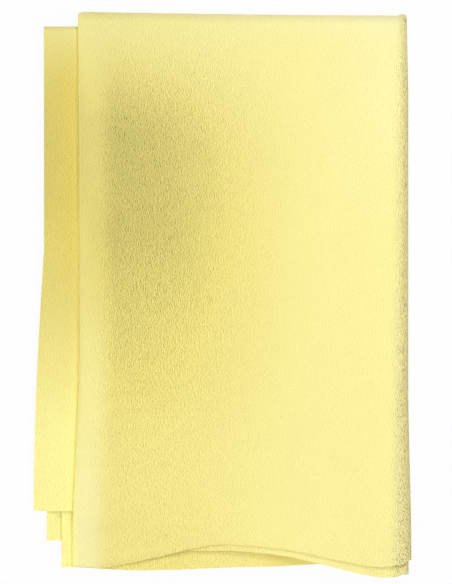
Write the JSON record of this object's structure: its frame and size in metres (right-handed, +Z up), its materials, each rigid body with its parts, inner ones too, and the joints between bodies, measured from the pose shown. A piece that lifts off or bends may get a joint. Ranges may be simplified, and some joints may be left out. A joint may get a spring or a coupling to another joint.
{
  "type": "folded microfiber cloth",
  "caption": "Large cut-edge microfiber cleaning cloth folded into a flat pad; its front half of plies swings open about the top fold.",
  "frame": {"origin": "on the table, under the middle of the folded pad's bounding box", "axes": "+Y along the pad towards its top fold, +X to the right as seen from the front, +Z up out of the front ply"},
  "size_m": [0.1668, 0.249, 0.0125],
  "materials": {
    "microfiber": "soft matt suede-like nap, pale lemon"
  },
  "bodies": {
    "back_half": {"rear_ply": "microfiber", "back_left_fold": "microfiber", "back_second_ply": "microfiber", "back_inner_right_fold": "microfiber", "back_corner_ply": "microfiber", "back_outer_right_fold": "microfiber", "back_inner_ply": "microfiber", "top_fold_front_ply": "microfiber", "top_fold_left": "microfiber", "top_fold_second_ply": "microfiber", "top_fold_inner_right": "microfiber", "top_fold_corner_ply": "microfiber", "top_fold_outer_right": "microfiber", "top_fold_inner_ply": "microfiber"},
    "front_half": {"front_ply": "microfiber", "front_left_fold": "microfiber", "front_second_ply": "microfiber", "front_inner_right_fold": "microfiber", "front_corner_ply": "microfiber", "front_outer_right_fold": "microfiber", "front_inner_ply": "microfiber"}
  },
  "joints": [
    {"name": "top_fold", "type": "hinge", "parent": "back_half", "child": "front_half", "pos_m": [0, 0.12, 0.00623], "axis": [-1, 0, 0], "range_deg": [0, 180], "deforming": ["top_fold_front_ply", "top_fold_left", "top_fold_second_ply", "top_fold_inner_right", "top_fold_corner_ply", "top_fold_outer_right", "top_fold_inner_ply"]}
  ]
}
